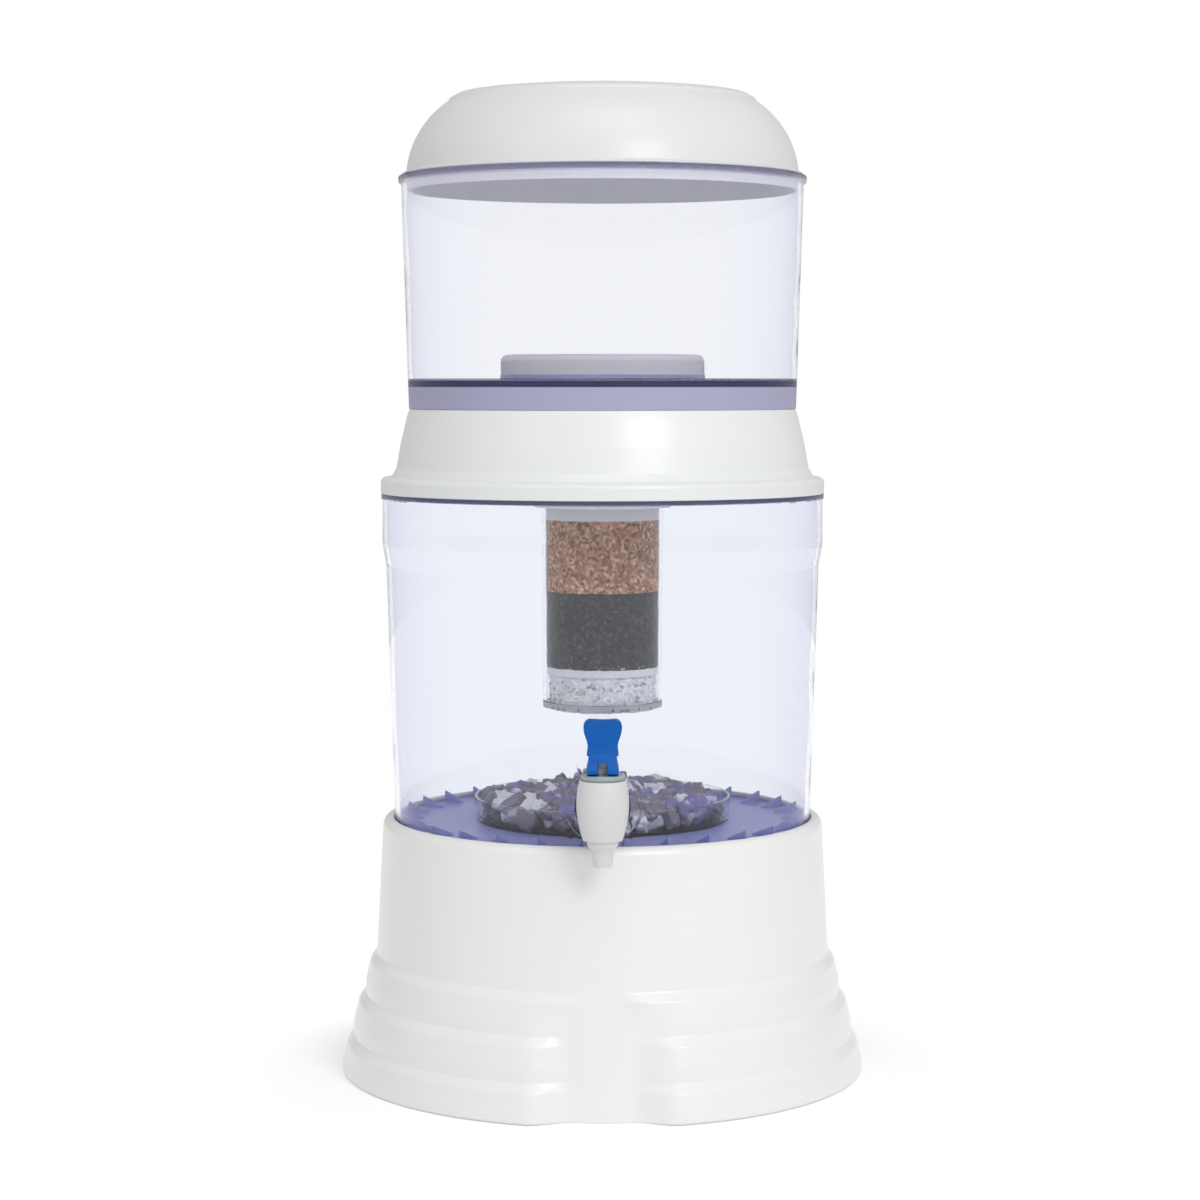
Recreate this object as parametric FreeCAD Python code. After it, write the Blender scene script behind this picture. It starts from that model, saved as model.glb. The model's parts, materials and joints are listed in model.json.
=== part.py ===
"""Countertop gravity water filter: two clear tanks, a cartridge between them, a stand and a tap.

Millimetres. +Z is up, the tap faces -Y, and the origin is on the axis of the tanks,
on the surface that the stand rests on.
"""

import FreeCAD, Part
import math
import os

from FreeCAD import Vector

os.makedirs("parts", exist_ok=True)

# Fits shared by several pieces
plastic_gap = 0.5        # between one moulding and the next that nests in it
thread_gap = 0.3         # between a plain screw and its plain hole
running_gap = 0.05       # between the lever's pin and the eye that turns on it
media_gap = 0.3          # between a filling and the wall round it

# Stand
stand_height = 142.0
stand_wall = 3.0
stand_rim_radius = 121.6
drum_foot_radius = 125.6
drum_foot_height = 66.0
step_radii = (131.8, 138.6, 144.8)
step_heights = (43.5, 20.5, 0.0)
step_shoulder = 16.0
nest_depth = 10.5
deck_thickness = 3.0
recess_foot_radius = 134.0
recess_inner_width = 32.0
recess_inner_height = 57.0
recess_draft = 0.9
recess_flare_height = 74.0

# Lower tank
lower_tank_height = 188.5
lower_wall = 2.6
lower_floor_lift = 4.0
lower_floor_thickness = 3.0
lower_floor_fillet = 2.0
lower_foot_radius = 115.0
lower_shoulder_radius = 119.4
lower_neck_radius = 121.4
lower_rim_radius = 122.0
lower_rim_thickness = 3.0
lower_neck_height = 28.0
lower_neck_slope = 11.0
foot_ring_width = 7.0
gusset_count = 30
gusset_height = 6.1
gusset_reach = 13.0
gusset_thickness = 1.6
gusset_toe_height = 0.6

# Tap hole in the lower tank
tap_hole_above_floor = 24.0
tap_boss_radius = 19.5
tap_boss_proud = 3.0
tap_pad_radius = 16.0
tap_pad_proud = 1.6

# Mineral tray and its stones
tray_radius = 71.2
tray_height = 13.5
tray_wall = 1.5
tray_draft = 1.0
stone_pitch = 14.6
stone_width = 13.6
stone_height = 8.6
stone_top_share = 0.62
stone_clearance = 1.0

# Separator between the tanks
separator_height = 46.5
separator_wall = 2.6
separator_deck_radius = 106.4
separator_waist_radius = 113.6
separator_flange_radius = 122.2
separator_flange_height = 9.5
separator_lip_depth = 4.0
dish_radius = 95.0
dish_floor_height = 13.0
dish_floor_thickness = 3.0
locating_lip_height = 3.0
socket_wall = 3.6
socket_ledge = 3.4

# Cartridge
cartridge_radius = 33.5
cartridge_foot_radius = 32.8
cartridge_wall = 1.5
cartridge_length = 107.8
cap_radius = 37.8
cap_band_height = 5.0
neck_radius = 29.0
neck_bore = 24.0
inlet_radius = 2.2
inlet_count = 8
inlet_circle = 17.0
gasket_thickness = 2.5
gasket_width = 3.6
pad_thickness = 7.0
grain_depth = 38.0
carbon_depth = 40.5
divider_thickness = 4.1
belly_drop = 4.5
cartridge_base_thickness = 1.6
cartridge_base_rim = 3.0

# Upper tank
upper_tank_height = 126.7
upper_wall = 2.6
upper_foot_radius = 106.6
upper_mouth_radius = 110.2
upper_rim_radius = 111.8
upper_rim_thickness = 4.0
upper_floor_lift = 11.9
upper_floor_thickness = 3.2
filter_seat_radius = 55.5
filter_seat_depth = 3.2

# Ceramic pre-filter
prefilter_radius = 56.5
prefilter_height = 14.4
prefilter_plate_thickness = 3.4
prefilter_edge = 4.0
prefilter_stem_radius = 5.0
prefilter_stem_bore = 2.5
prefilter_stem_length = 22.0
seal_radius = 9.0
seal_thickness = 2.0
wing_nut_radius = 8.0
wing_nut_height = 7.5
wing_span = 30.0
wing_thickness = 2.6
wing_height = 6.0

# Lid
lid_height = 48.8
lid_wall = 2.4
lid_bead_radius = 109.8
lid_bead_height = 1.5
lid_skirt_radius = 107.4
lid_crown_radius = 83.8
lid_crown_drop = 6.4
lid_crown_edge = 4.0
lid_crown_roll = 1.6
lid_crown_step = 2.2
lid_shoulder_bulge = 6.3
lid_lip_depth = 8.0

# Tap
tap_reach = 26.6
tap_barrel_foot_radius = 10.2
tap_barrel_radius = 13.4
tap_barrel_top_radius = 11.9
tap_barrel_height = 30.8
tap_barrel_below_hole = 13.9
tap_chamber_radius = 7.6
tap_chamber_floor = 4.4
tap_outlet_radius = 3.4
nozzle_length = 13.6
nozzle_root_radius = 8.0
nozzle_tip_radius = 4.8
nozzle_collar = 2.4
shank_radius = 8.0
shank_bore = 4.5
shank_inside = 19.0
tap_flange_radius = 13.0
tap_flange_thickness = 3.0
tap_washer_radius = 14.6
tap_washer_thickness = 2.5
tap_nut_flats = 24.0
tap_nut_height = 8.5
bonnet_radius = 11.3
bonnet_height = 3.1
bonnet_plug = 4.0
stem_radius = 2.2
stem_eye_radius = 3.2
stem_tongue = 4.2
cup_radius = 6.4
cup_height = 5.0
spring_radius = 5.2
spring_wire = 0.4
spring_turns = 6

# Tap lever
lever_pin_height = 5.3
lever_pin_radius = 1.5
lever_pin_length = 13.4
lever_lift = 4.0
lever_swing = 35.0
lever_foot_gap = 0.3
lever_height = 22.8
lever_top_width = 19.8
lever_waist_width = 14.5
lever_foot_width = 16.3
lever_heel = 5.6
lever_slot_gap = 0.3

# Heights worked out from the stack, bottom to top
deck_z = stand_height - nest_depth
lower_floor_z = deck_z + lower_floor_lift + lower_floor_thickness
lower_rim_z = deck_z + lower_tank_height
separator_deck_z = lower_rim_z + separator_height
upper_floor_z = separator_deck_z + upper_floor_lift + upper_floor_thickness
upper_rim_z = separator_deck_z + upper_tank_height
lid_top_z = upper_rim_z + lid_height
tap_z = lower_floor_z + tap_hole_above_floor

# Radii worked out from the piece that each one meets
nest_radius = lower_foot_radius + 0.3 + plastic_gap
lower_mouth_radius = lower_neck_radius - lower_wall
socket_radius = neck_radius + thread_gap
cap_top_z = lower_rim_z - gasket_thickness
shell_top_z = cap_top_z - cap_band_height
shell_foot_z = shell_top_z - cartridge_length
upper_mouth_bore = upper_mouth_radius - upper_wall
stem_hole_radius = prefilter_stem_radius + thread_gap
shank_hole_radius = shank_radius + thread_gap


def at_ring(radius, z):
    """A point of a turned outline."""
    return Vector(radius, 0, z)


def outline(corners, place):
    """Closed wire. A corner is (a, b), (a, b, fillet radius) or (a, b, "via") for an arc's middle."""
    points = [Vector(c[0], c[1], 0) for c in corners]
    count = len(corners)
    starts = list(points)
    ends = list(points)
    middles = {}
    for i, corner in enumerate(corners):
        if len(corner) == 2 or corner[2] == "via":
            continue
        to_last = (points[i - 1] - points[i]).normalize()
        to_next = (points[(i + 1) % count] - points[i]).normalize()
        half_angle = to_last.getAngle(to_next) / 2
        reach = corner[2] / math.tan(half_angle)
        starts[i] = points[i] + to_last * reach
        ends[i] = points[i] + to_next * reach
        bisector = (to_last + to_next).normalize()
        depth = corner[2] / math.sin(half_angle) - corner[2]
        middles[i] = points[i] + bisector * depth
    edges = []

    def spot(point):
        return place(point.x, point.y)

    for i, corner in enumerate(corners):
        after = (i + 1) % count
        if i in middles:
            edges.append(Part.Arc(spot(starts[i]), spot(middles[i]), spot(ends[i])).toShape())
        if len(corner) == 3 and corner[2] == "via":
            edges.append(Part.Arc(spot(ends[i - 1]), spot(points[i]), spot(starts[after])).toShape())
            continue
        if len(corners[after]) == 3 and corners[after][2] == "via":
            continue
        if (starts[after] - ends[i]).Length > 1e-6:
            edges.append(Part.makeLine(spot(ends[i]), spot(starts[after])))
    return Part.Wire(edges)


def rounded(a, b, radius):
    """A corner with a fillet, or a sharp one where the radius is nought."""
    return (a, b, radius) if radius else (a, b)


def turned(corners, centre=Vector(0, 0, 0)):
    """Solid turned about a vertical line through centre."""
    face = Part.Face(outline(corners, at_ring))
    solid = face.revolve(Vector(0, 0, 0), Vector(0, 0, 1), 360)
    solid.translate(centre)
    return solid


def disc(radius, z_low, z_high, x=0.0, y=0.0):
    return Part.makeCylinder(radius, z_high - z_low, Vector(x, y, z_low))


def ring(inner, outer, z_low, z_high, x=0.0, y=0.0):
    return disc(outer, z_low, z_high, x, y).cut(disc(inner, z_low - 1, z_high + 1, x, y))


def rod_along_y(radius, y_from, y_to, z, x=0.0):
    return Part.makeCylinder(radius, y_to - y_from, Vector(x, y_from, z), Vector(0, 1, 0))


def rod_along_x(radius, length, y, z):
    return Part.makeCylinder(radius, length, Vector(-length / 2, y, z), Vector(1, 0, 0))


def block(x_low, x_high, y_low, y_high, z_low, z_high):
    return Part.makeBox(x_high - x_low, y_high - y_low, z_high - z_low, Vector(x_low, y_low, z_low))


def cap_drop(radius, rim_radius, rim_drop):
    """How far a ball's cap has dropped at this radius, if it drops by rim_drop at its rim."""
    ball_radius = (rim_radius ** 2 + rim_drop ** 2) / (2 * rim_drop)
    return ball_radius - math.sqrt(ball_radius ** 2 - radius ** 2)


def around(shape, count, first_angle=0.0):
    """Copies of a shape, spread evenly round the tanks' axis."""
    copies = []
    for i in range(count):
        copy = shape.copy()
        copy.rotate(Vector(0, 0, 0), Vector(0, 0, 1), first_angle + 360.0 * i / count)
        copies.append(copy)
    return copies


def save(name, shape):
    if len(shape.Solids) == 1:
        shape = shape.removeSplitter()
    print(f"{name:26s} solids {len(shape.Solids):3d}  valid {shape.isValid()}  {shape.Volume / 1000:9.2f} ml")
    shape.exportStep(f"parts/{name}.step")


# Stand: a hollow drum on three rounded steps, with an arched recess under the tap
def stepped_outline(inset):
    """Turned outline of the stand, moved inwards by inset."""
    rounding = 1.0 if inset == 0 else 0.0
    foot_z = 0 if inset == 0 else -1
    corners = [(0, foot_z), rounded(step_radii[-1] - inset, foot_z, 1.6 * rounding)]
    upper_radii = (drum_foot_radius,) + step_radii[:-1]
    shoulder_tops = (drum_foot_height,) + step_heights[:-1]
    for radius, inner, top in reversed(list(zip(step_radii, upper_radii, shoulder_tops))):
        width = radius - inner
        corners.append(rounded(radius - inset, top - step_shoulder, 0.45 * step_shoulder * rounding))
        corners.append(rounded(radius - inset - 0.42 * width, top - 0.3 * step_shoulder, 2.5 * rounding))
        corners.append(rounded(inner - inset, top, 1.2 * rounding))
    top_z = stand_height if inset == 0 else deck_z - deck_thickness
    corners.append(rounded(stand_rim_radius - inset, top_z, 5.0 * rounding))
    corners.append((0, top_z))
    return corners


def recess_tool(inset):
    """What the arched recess removes: an arch with sloping sides, outside a wall that flares."""
    arches = []
    inner_y = -drum_foot_radius + 3.6
    outer_y = -step_radii[-1] - 6
    for y in (inner_y, outer_y):
        spread = inset + recess_draft * (inner_y - y)
        half = recess_inner_width / 2 + spread
        top = recess_inner_height + spread
        corners = [
            (-half, -2),
            (half, -2),
            (half, 0.6 * top),
            (0.74 * half, 0.87 * top, "via"),
            (0, top),
            (-0.74 * half, 0.87 * top, "via"),
            (-half, 0.6 * top),
        ]
        arches.append(outline(corners, lambda a, b, y=y: Vector(a, y, b)))
    arch = Part.makeLoft(arches, True, True)
    flare_top = recess_flare_height
    flare = turned([
        (0, -3),
        (recess_foot_radius - inset, -3),
        (recess_foot_radius - inset, 0),
        (recess_foot_radius - 5.4 - inset, 0.38 * flare_top, "via"),
        (drum_foot_radius - inset, flare_top),
        (0, flare_top),
    ])
    return arch.cut(flare)


def stand():
    body = turned(stepped_outline(0)).cut(recess_tool(0))
    hollow = turned(stepped_outline(stand_wall)).cut(recess_tool(stand_wall))
    nest = turned([
        (0, deck_z),
        (nest_radius, deck_z),
        (nest_radius, stand_height - 1.5),
        (nest_radius + 1.5, stand_height + 0.1),
        (0, stand_height + 0.1),
    ])
    return body.cut(hollow).cut(nest)


# Lower tank: clear tub with a wider neck and a foot ring, and gussets round its floor
def lower_wall_radius(z):
    """Outer radius of the tank's tapered wall."""
    shoulder_z = lower_rim_z - lower_neck_height - lower_neck_slope
    share = (z - deck_z) / (shoulder_z - deck_z)
    return lower_foot_radius + share * (lower_shoulder_radius - lower_foot_radius)


def lower_tank():
    shoulder_z = lower_rim_z - lower_neck_height - lower_neck_slope
    neck_z = lower_rim_z - lower_neck_height
    under_rim_z = lower_rim_z - lower_rim_thickness
    floor_bottom = deck_z + lower_floor_lift
    inner_foot = lower_wall_radius(lower_floor_z) - lower_wall
    tub = turned([
        (0, floor_bottom),
        (lower_foot_radius - foot_ring_width, floor_bottom),
        (lower_foot_radius - foot_ring_width, deck_z),
        (lower_foot_radius, deck_z, 2.0),
        (lower_shoulder_radius, shoulder_z, 14),
        (lower_neck_radius, neck_z, 14),
        (lower_neck_radius, under_rim_z),
        (lower_rim_radius, under_rim_z),
        (lower_rim_radius, lower_rim_z),
        (lower_mouth_radius, lower_rim_z),
        (lower_mouth_radius, neck_z, 14),
        (lower_shoulder_radius - lower_wall, shoulder_z, 14),
        (inner_foot, lower_floor_z, lower_floor_fillet),
        (0, lower_floor_z),
    ])
    wall_here = lower_wall_radius(tap_z)
    boss_face = -(wall_here + tap_boss_proud)
    pad_face = -(wall_here - lower_wall - tap_pad_proud)
    wall_ring = ring(wall_here - lower_wall - 8, wall_here - 1, tap_z - 30, tap_z + 30)
    boss = rod_along_y(tap_boss_radius, boss_face, -wall_here + 12, tap_z).cut(
        disc(wall_here - 1, tap_z - 30, tap_z + 30))
    pad = rod_along_y(tap_pad_radius, boss_face, pad_face, tap_z).common(wall_ring)
    tub = tub.fuse([boss, pad])
    return tub.cut(rod_along_y(shank_hole_radius, boss_face - 1, pad_face + 12, tap_z))


def floor_gussets():
    """Ribs of the lower tank between its floor and its wall, spread evenly round it."""
    foot = lower_wall_radius(lower_floor_z) - lower_wall
    top = lower_wall_radius(lower_floor_z + gusset_height) - lower_wall
    clear = lower_floor_fillet + 0.1
    face = Part.Face(outline([
        (foot - gusset_reach, lower_floor_z),
        (foot - clear, lower_floor_z),
        (foot - 0.01, lower_floor_z + clear),
        (top - 0.01, lower_floor_z + gusset_height),
        (foot - gusset_reach, lower_floor_z + gusset_toe_height),
    ], at_ring))
    gusset = face.extrude(Vector(0, gusset_thickness, 0))
    gusset.translate(Vector(0, -gusset_thickness / 2, 0))
    half_step = 180.0 / gusset_count
    return Part.makeCompound(around(gusset, gusset_count, -90 + half_step))


# Mineral tray: shallow clear cup with a layer of stones two deep
def mineral_tray():
    z = lower_floor_z
    return turned([
        (0, z),
        (tray_radius - tray_draft, z, 1.5),
        (tray_radius, z + tray_height),
        (tray_radius - tray_wall, z + tray_height),
        (tray_radius - tray_draft - tray_wall, z + tray_wall),
        (0, z + tray_wall),
    ])


def stone(x, y, z, turn, width, height):
    """Six-sided pebble, widest at mid height, with a flat foot and top."""
    levels = []
    for share, level in ((stone_top_share, 0), (1.0, 0.5), (stone_top_share, 1.0)):
        corners = []
        for i in range(6):
            angle = math.radians(turn + 60 * i)
            radius = width / 2 * share * (1 - 0.14 * (i % 2))
            corners.append(Vector(x + radius * math.cos(angle), y + radius * math.sin(angle), z + level * height))
        levels.append(corners)
    faces = [levels[0], levels[-1]]
    for low, high in zip(levels, levels[1:]):
        for i in range(6):
            j = (i + 1) % 6
            faces.append([low[i], low[j], high[j], high[i]])
    shell = Part.makeShell([Part.Face(Part.makePolygon(f + f[:1])) for f in faces])
    return Part.makeSolid(shell)


def mineral_stones():
    stones = []
    first_z = lower_floor_z + tray_wall
    second_z = first_z + stone_height
    reach = tray_radius - tray_draft - tray_wall - stone_width / 2 - stone_clearance
    stone_rings = int(reach / stone_pitch)
    for layer, z in ((0, first_z), (1, second_z)):
        for ring_index in range(stone_rings + 1):
            radius = stone_pitch * ring_index
            count = max(1, int(2 * math.pi * radius / stone_pitch))
            for i in range(count):
                angle = 2 * math.pi * (i + 0.37 * ring_index) / count
                size = stone_width * (0.86 if (i + ring_index) % 3 else 1.0)
                height = stone_height * (1.0 if layer == 0 else 0.45 + 0.1 * ((i + ring_index) % 3))
                x = radius * math.cos(angle)
                y = radius * math.sin(angle)
                turn = 37 * (i + 3 * ring_index) + 20 * layer
                stones.append(stone(x, y, z, turn, size, height))
    return Part.makeCompound(stones)


# Separator: white collar with a dish that feeds the cartridge's socket
def separator():
    flange_top = lower_rim_z + separator_flange_height
    dish_floor = lower_rim_z + dish_floor_height
    lip_radius = lower_mouth_radius - plastic_gap
    skirt_bore = upper_foot_radius - upper_wall
    shell = turned([
        (separator_flange_radius, lower_rim_z),
        (separator_flange_radius, flange_top - 1, 2.6),
        (separator_waist_radius + 2.6, flange_top, 1.0),
        (separator_waist_radius, flange_top + 4.5, 3.0),
        (separator_waist_radius - 2.4, separator_deck_z - 19, 30),
        (separator_deck_radius + 1.2, separator_deck_z - 4, 4),
        (separator_deck_radius - 0.2, separator_deck_z, 0.8),
        (skirt_bore - plastic_gap, separator_deck_z),
        (skirt_bore - plastic_gap, separator_deck_z + locating_lip_height),
        (skirt_bore - plastic_gap - 1.6, separator_deck_z + locating_lip_height),
        (dish_radius, separator_deck_z - 3),
        (dish_radius - 3, dish_floor),
        (socket_radius - socket_ledge, dish_floor - 0.8),
        (socket_radius - socket_ledge, dish_floor - dish_floor_thickness),
        (socket_radius, dish_floor - dish_floor_thickness),
        (socket_radius, lower_rim_z),
        (socket_radius + socket_wall, lower_rim_z),
        (socket_radius + socket_wall, dish_floor - dish_floor_thickness),
        (dish_radius - 2 + separator_wall, dish_floor - dish_floor_thickness),
        (dish_radius + separator_wall, separator_deck_z - 3 - separator_wall),
        (separator_deck_radius - separator_wall, separator_deck_z - 3 - separator_wall),
        (separator_waist_radius - 2.4 - separator_wall, separator_deck_z - 19),
        (separator_waist_radius - separator_wall, flange_top),
        (lip_radius - 2.2, lower_rim_z + 4),
        (lip_radius - 2.2, lower_rim_z - separator_lip_depth),
        (lip_radius, lower_rim_z - separator_lip_depth),
        (lip_radius, lower_rim_z),
    ])
    return shell


# Cartridge: clear tube of layered media under a screw cap
def cartridge_radius_at(z):
    share = (z - shell_foot_z) / cartridge_length
    return cartridge_foot_radius + share * (cartridge_radius - cartridge_foot_radius)


def cartridge_shell():
    return turned([
        (cartridge_foot_radius, shell_foot_z),
        (cartridge_radius, shell_top_z),
        (cartridge_radius - cartridge_wall, shell_top_z),
        (cartridge_foot_radius - cartridge_wall, shell_foot_z),
    ])


def cartridge_cap():
    neck_top = lower_rim_z + dish_floor_height - dish_floor_thickness - plastic_gap
    cap = turned([
        (neck_bore, shell_top_z),
        (cap_radius, shell_top_z),
        (cap_radius, cap_top_z),
        (neck_radius, cap_top_z),
        (neck_radius, neck_top),
        (0, neck_top),
        (0, neck_top - 2.4),
        (neck_bore, neck_top - 2.4),
    ])
    inlet = disc(inlet_radius, neck_top - 4, neck_top + 1, inlet_circle)
    return cap.cut(Part.makeCompound(around(inlet, inlet_count)))


def filling(z_low, z_high, sag_low, sag_high):
    """A layer inside the cartridge's tube, its faces sagging towards the middle."""
    low_radius = cartridge_radius_at(z_low) - cartridge_wall - media_gap
    high_radius = cartridge_radius_at(z_high) - cartridge_wall - media_gap
    return turned([
        (0, z_low - sag_low),
        (low_radius, z_low),
        (high_radius, z_high),
        (0, z_high - sag_high),
    ])


def cartridge_base():
    """Perforated foot that closes the tube, bellied like the media above it."""
    radius = cartridge_foot_radius + 0.3
    inner = cartridge_foot_radius - cartridge_wall - media_gap
    z = shell_foot_z
    foot = turned([
        (0, z - belly_drop - cartridge_base_thickness),
        (radius, z - cartridge_base_rim),
        (radius, z),
        (inner, z),
        (0, z - belly_drop),
    ])
    slot = block(8, 24, -0.9, 0.9, z - 12, z + 1)
    return foot.cut(Part.makeCompound(around(slot, 12)))


# Upper tank: clear tub on a skirt, its floor thickened under the ceramic pre-filter
def upper_tank():
    floor_bottom = upper_floor_z - upper_floor_thickness
    under_rim_z = upper_rim_z - upper_rim_thickness
    share = (upper_floor_z - separator_deck_z) / (under_rim_z - separator_deck_z)
    wall_foot = upper_foot_radius + share * (upper_mouth_radius - upper_foot_radius) - upper_wall
    tub = turned([
        (0, floor_bottom - filter_seat_depth),
        (filter_seat_radius, floor_bottom - filter_seat_depth, 1.0),
        (filter_seat_radius, floor_bottom),
        (upper_foot_radius - upper_wall, floor_bottom),
        (upper_foot_radius - upper_wall, separator_deck_z),
        (upper_foot_radius, separator_deck_z),
        (upper_mouth_radius, under_rim_z),
        (upper_rim_radius, under_rim_z, 1.0),
        (upper_rim_radius, upper_rim_z, 1.0),
        (upper_mouth_bore, upper_rim_z),
        (upper_mouth_bore, under_rim_z),
        (wall_foot, upper_floor_z, 1.5),
        (0, upper_floor_z),
    ])
    return tub.cut(disc(stem_hole_radius, floor_bottom - 9, upper_floor_z + 1))


def prefilter_base():
    plate_top = upper_floor_z + prefilter_plate_thickness
    stem_foot = upper_floor_z - prefilter_stem_length
    return turned([
        (prefilter_stem_bore, stem_foot),
        (prefilter_stem_radius, stem_foot, 0.6),
        (prefilter_stem_radius, upper_floor_z + seal_thickness),
        (seal_radius + thread_gap, upper_floor_z + seal_thickness),
        (seal_radius + thread_gap, upper_floor_z),
        (prefilter_radius - 0.6, upper_floor_z),
        (prefilter_radius, upper_floor_z + 0.6),
        (prefilter_radius, plate_top),
        (prefilter_stem_bore, plate_top),
    ])


def prefilter_ceramic():
    foot = upper_floor_z + prefilter_plate_thickness
    top = upper_floor_z + prefilter_height
    return turned([
        (0, foot + 3),
        (prefilter_radius - 9, foot + 3),
        (prefilter_radius - 9, foot),
        (prefilter_radius - 0.4, foot),
        (prefilter_radius - 0.4, top, prefilter_edge),
        (0, top),
    ])


def wing_nut(z_top):
    """Nut with two rounded wings, turned by hand."""
    hub = turned([
        (stem_hole_radius, z_top - wing_nut_height),
        (wing_nut_radius - 1.2, z_top - wing_nut_height, 0.6),
        (wing_nut_radius, z_top),
        (stem_hole_radius, z_top),
    ])
    half = wing_span / 2
    wing = Part.Face(outline([
        (wing_nut_radius - 2, z_top - wing_nut_height + 0.8),
        (half - 2, z_top - wing_height - 4.5, 2.4),
        (half, z_top - 1.2, 2.0),
        (wing_nut_radius - 2, z_top - 0.5),
    ], at_ring)).extrude(Vector(0, wing_thickness, 0))
    wing.translate(Vector(0, -wing_thickness / 2, 0))
    return hub.fuse(around(wing, 2))


# Lid: white dome with a stepped crown, standing in the upper tank's mouth
def lid():
    crown_z = lid_top_z - lid_crown_drop
    dome_z = crown_z - lid_crown_step
    skirt_z = upper_rim_z + lid_bead_height
    lip_radius = upper_mouth_bore - plastic_gap
    side_mid_radius = (lid_crown_radius + lid_skirt_radius) / 2 + lid_shoulder_bulge * 0.74
    side_mid_z = (dome_z + skirt_z) / 2 + lid_shoulder_bulge * 0.5
    w = lid_wall
    cap_radius_here = lid_crown_radius - lid_crown_edge
    cap_depth = lid_crown_drop - lid_crown_roll
    half_drop = cap_drop(cap_radius_here / 2, cap_radius_here, cap_depth)
    return turned([
        (0, lid_top_z),
        (cap_radius_here / 2, lid_top_z - half_drop, "via"),
        (cap_radius_here, lid_top_z - cap_depth),
        (lid_crown_radius, crown_z - 0.6, 1.4),
        (lid_crown_radius + 0.8, dome_z),
        (side_mid_radius, side_mid_z, "via"),
        (lid_skirt_radius, skirt_z + 1.0),
        (lid_skirt_radius + 0.4, skirt_z),
        (lid_bead_radius, skirt_z, 0.7),
        (lid_bead_radius, upper_rim_z),
        (lip_radius, upper_rim_z),
        (lip_radius, upper_rim_z - lid_lip_depth),
        (lip_radius - 2, upper_rim_z - lid_lip_depth),
        (lip_radius - 2, skirt_z + 2),
        (side_mid_radius - w, side_mid_z - 0.8 * w),
        (lid_crown_radius - 0.4 * w, dome_z - w),
        (cap_radius_here, lid_top_z - cap_depth - w),
        (cap_radius_here / 2, lid_top_z - half_drop - w),
        (0, lid_top_z - w),
    ])


# Tap: a barrel with a shank through the tank's wall, closed by a sprung cup
boss_face_y = -(lower_wall_radius(tap_z) + tap_boss_proud)
pad_face_y = -(lower_wall_radius(tap_z) - lower_wall - tap_pad_proud)
tap_y = -(lower_wall_radius(tap_z) + tap_reach)
barrel_foot_z = tap_z - tap_barrel_below_hole
barrel_top_z = barrel_foot_z + tap_barrel_height
seat_z = barrel_foot_z + tap_chamber_floor
nozzle_tip_z = barrel_foot_z - nozzle_length
bonnet_top_z = barrel_top_z + bonnet_height
plug_foot_z = barrel_top_z - bonnet_plug
pin_z = bonnet_top_z + lever_pin_height
tap_centre = Vector(0, tap_y, 0)


def tap_body():
    barrel = turned([
        (0, nozzle_tip_z),
        (nozzle_tip_radius, nozzle_tip_z, 0.5),
        (nozzle_tip_radius + 1.0, barrel_foot_z - nozzle_collar - 3),
        (nozzle_root_radius, barrel_foot_z - nozzle_collar, 0.8),
        (nozzle_root_radius, barrel_foot_z),
        (tap_barrel_foot_radius, barrel_foot_z, 0.8),
        (tap_barrel_foot_radius + 0.7, barrel_foot_z + 2.6),
        (tap_barrel_radius, barrel_foot_z + 0.56 * tap_barrel_height, "via"),
        (tap_barrel_top_radius, barrel_top_z),
        (0, barrel_top_z),
    ], tap_centre)
    flange_face = boss_face_y - tap_washer_thickness
    shank_end = pad_face_y + shank_inside
    shank = rod_along_y(shank_radius, tap_y, shank_end, tap_z)
    flange = rod_along_y(tap_flange_radius, flange_face - tap_flange_thickness, flange_face, tap_z)
    body = barrel.fuse([shank, flange])
    chamber = disc(tap_chamber_radius, seat_z, barrel_top_z + 1, 0, tap_y)
    outlet = disc(tap_outlet_radius, nozzle_tip_z - 1, seat_z + 1, 0, tap_y)
    inlet = rod_along_y(shank_bore, tap_y, shank_end + 1, tap_z)
    return body.cut(Part.makeCompound([chamber, outlet, inlet]))


def tap_bonnet():
    return turned([
        (stem_radius + thread_gap, plug_foot_z),
        (tap_chamber_radius - thread_gap, plug_foot_z),
        (tap_chamber_radius - thread_gap, barrel_top_z),
        (bonnet_radius, barrel_top_z),
        (bonnet_radius, bonnet_top_z, 0.8),
        (stem_radius + thread_gap, bonnet_top_z),
    ], tap_centre)


def tap_stem():
    """Rod with a flat eye on top; the cup is moulded round its foot."""
    rod = disc(stem_radius, seat_z + 1.5, bonnet_top_z + 1.4, 0, tap_y)
    eye = rod_along_x(stem_eye_radius, stem_tongue, tap_y, pin_z)
    half = stem_tongue / 2
    neck = block(-half, half, tap_y - stem_radius, tap_y + stem_radius, bonnet_top_z + 0.3, pin_z)
    pin_hole = rod_along_x(lever_pin_radius + running_gap, stem_tongue + 2, tap_y, pin_z)
    return rod.fuse([eye, neck]).cut(pin_hole)


def tap_seat_cup():
    cup = turned([
        (0, seat_z),
        (tap_outlet_radius + 1.6, seat_z),
        (cup_radius, seat_z + 1.6, 0.8),
        (cup_radius - 0.6, seat_z + cup_height - 1),
        (stem_radius + 1.0, seat_z + cup_height),
        (0, seat_z + cup_height),
    ], tap_centre)
    return cup.cut(disc(stem_radius, seat_z + 1.5, seat_z + 9, 0, tap_y))


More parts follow.
